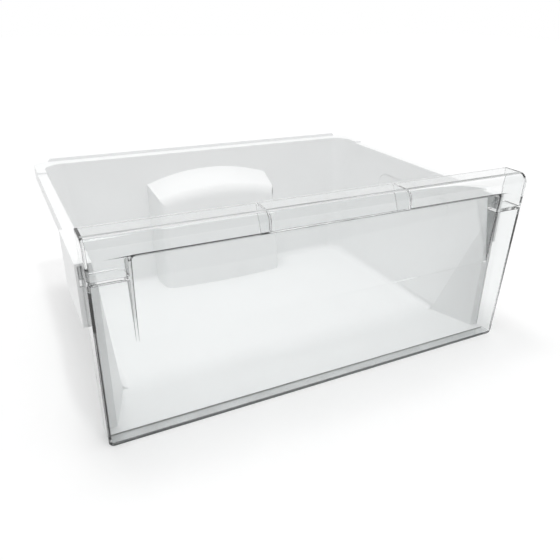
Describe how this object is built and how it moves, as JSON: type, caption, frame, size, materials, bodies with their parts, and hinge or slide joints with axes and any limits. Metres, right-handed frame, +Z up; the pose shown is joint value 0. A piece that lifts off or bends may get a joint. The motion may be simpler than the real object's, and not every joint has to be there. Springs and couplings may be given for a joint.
{
  "type": "fridge crisper drawer",
  "caption": "White tapered fridge crisper drawer with a clear hooded front panel, a finger recess under its lip, a hanging rim and a rear hump that clears the compressor step.",
  "frame": {"origin": "centre of the overall box in plan, at the height of the floor's underside", "axes": "+X across the drawer to the right hand seen from the front, +Y from the clear front to the back, +Z up"},
  "size_m": [0.459, 0.3576, 0.197],
  "materials": {
    "white_plastic": "moulded white polystyrene with a soft satin gloss",
    "clear_plastic": "clear moulded polystyrene, polished"
  },
  "bodies": {
    "root": {"drawer_body": "white_plastic", "front_panel": "clear_plastic"}
  },
  "joints": []
}
